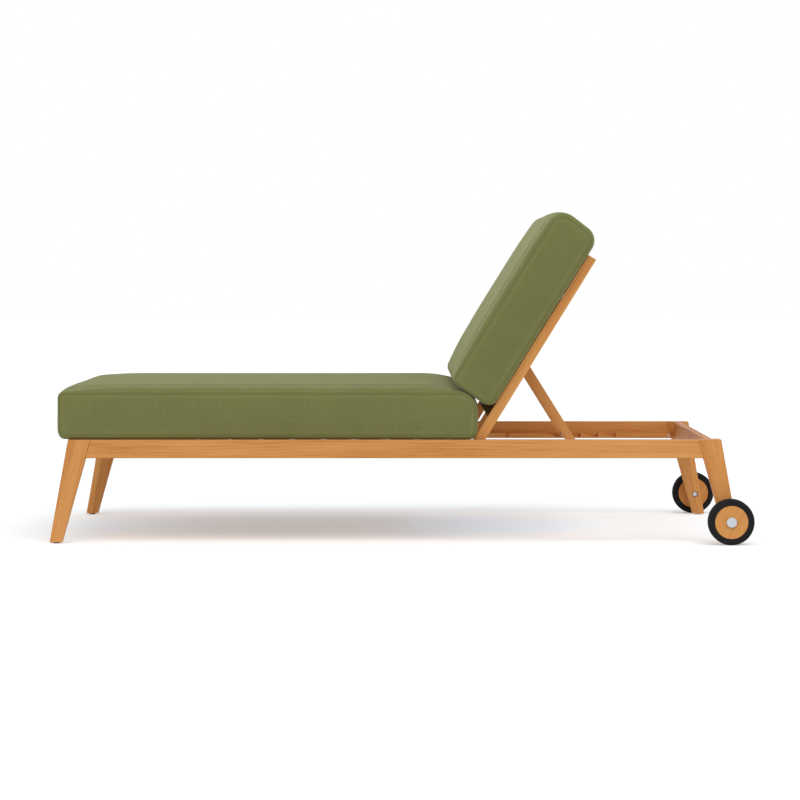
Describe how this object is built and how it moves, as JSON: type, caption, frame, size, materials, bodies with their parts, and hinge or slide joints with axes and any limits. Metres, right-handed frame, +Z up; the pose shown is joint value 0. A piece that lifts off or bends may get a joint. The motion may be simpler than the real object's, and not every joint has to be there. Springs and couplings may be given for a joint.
{
  "type": "double chaise lounger",
  "caption": "Wide slatted garden lounger on tapered splayed legs, with wheels at the head end, a back propped in notched racks, and thick boxed seat and back cushions.",
  "frame": {"origin": "on the floor, under the middle of the whole part", "axes": "+X towards the head end with the wheels, +Z up, -Y the side shown in the picture"},
  "size_m": [2.0418, 1.3446, 0.96],
  "materials": {
    "wood": "oiled satin",
    "cushion_fabric": "fine weave",
    "tyre": "matte",
    "steel": "brushed",
    "glide_plastic": "matte"
  },
  "bodies": {
    "frame": {"leg_front_left": "wood", "leg_front_right": "wood", "leg_rear_left": "wood", "leg_rear_right": "wood", "leg_glides": "glide_plastic", "side_rail_left": "wood", "side_rail_right": "wood", "front_cross_rail": "wood", "rear_cross_rail": "wood", "middle_cross_rail": "wood", "centre_beam": "wood", "seat_ledger_left": "wood", "seat_ledger_right": "wood", "rear_ledger_left": "wood", "rear_ledger_right": "wood", "notched_rack_left": "wood", "notched_rack_right": "wood", "seat_slat_1": "wood", "seat_slat_2": "wood", "seat_slat_3": "wood", "seat_slat_4": "wood", "seat_slat_5": "wood", "seat_slat_6": "wood", "seat_slat_7": "wood", "seat_slat_8": "wood", "seat_slat_9": "wood", "seat_slat_10": "wood", "seat_slat_11": "wood", "hinge_cheeks": "wood", "hinge_pins": "steel", "axle_bolt_left": "steel", "axle_bolt_right": "steel", "axle_spacers": "steel", "axle_nuts": "steel", "seat_cushion": "cushion_fabric"},
    "back": {"back_stile_left": "wood", "back_stile_right": "wood", "back_bottom_rail": "wood", "back_top_rail": "wood", "back_slat_1": "wood", "back_slat_2": "wood", "back_slat_3": "wood", "back_slat_4": "wood", "back_slat_5": "wood", "back_slat_6": "wood", "back_centre_runner": "wood", "back_strut_runner_left": "wood", "back_strut_runner_right": "wood", "strut_bolts": "steel", "back_cushion": "cushion_fabric"},
    "prop": {"prop_strut_left": "wood", "prop_strut_right": "wood", "prop_bar": "wood"},
    "wheel_left": {"tyre_left": "tyre", "wheel_disc_left": "wood", "wheel_bush_left": "steel"},
    "wheel_right": {"tyre_right": "tyre", "wheel_disc_right": "wood", "wheel_bush_right": "steel"}
  },
  "joints": [
    {"name": "back_hinge", "type": "hinge", "parent": "frame", "child": "back", "pos_m": [0.21954, 0, 0.289], "axis": [0, 1, 0], "range_deg": [0, 58.1]},
    {"name": "prop_pivot", "type": "hinge", "parent": "back", "child": "prop", "pos_m": [0.36976, 0, 0.50764], "axis": [0, 1, 0], "range_deg": [-116.2, 0]},
    {"name": "wheel_spin_left", "type": "hinge", "parent": "frame", "child": "wheel_left", "pos_m": [0.95436, -0.644, 0.0665], "axis": [0, 1, 0], "continuous": true},
    {"name": "wheel_spin_right", "type": "hinge", "parent": "frame", "child": "wheel_right", "pos_m": [0.95436, 0.644, 0.0665], "axis": [0, 1, 0], "continuous": true}
  ],
  "couplings": [
    {"joint": "prop_pivot", "follows": "back_hinge", "ratio": -2}
  ]
}
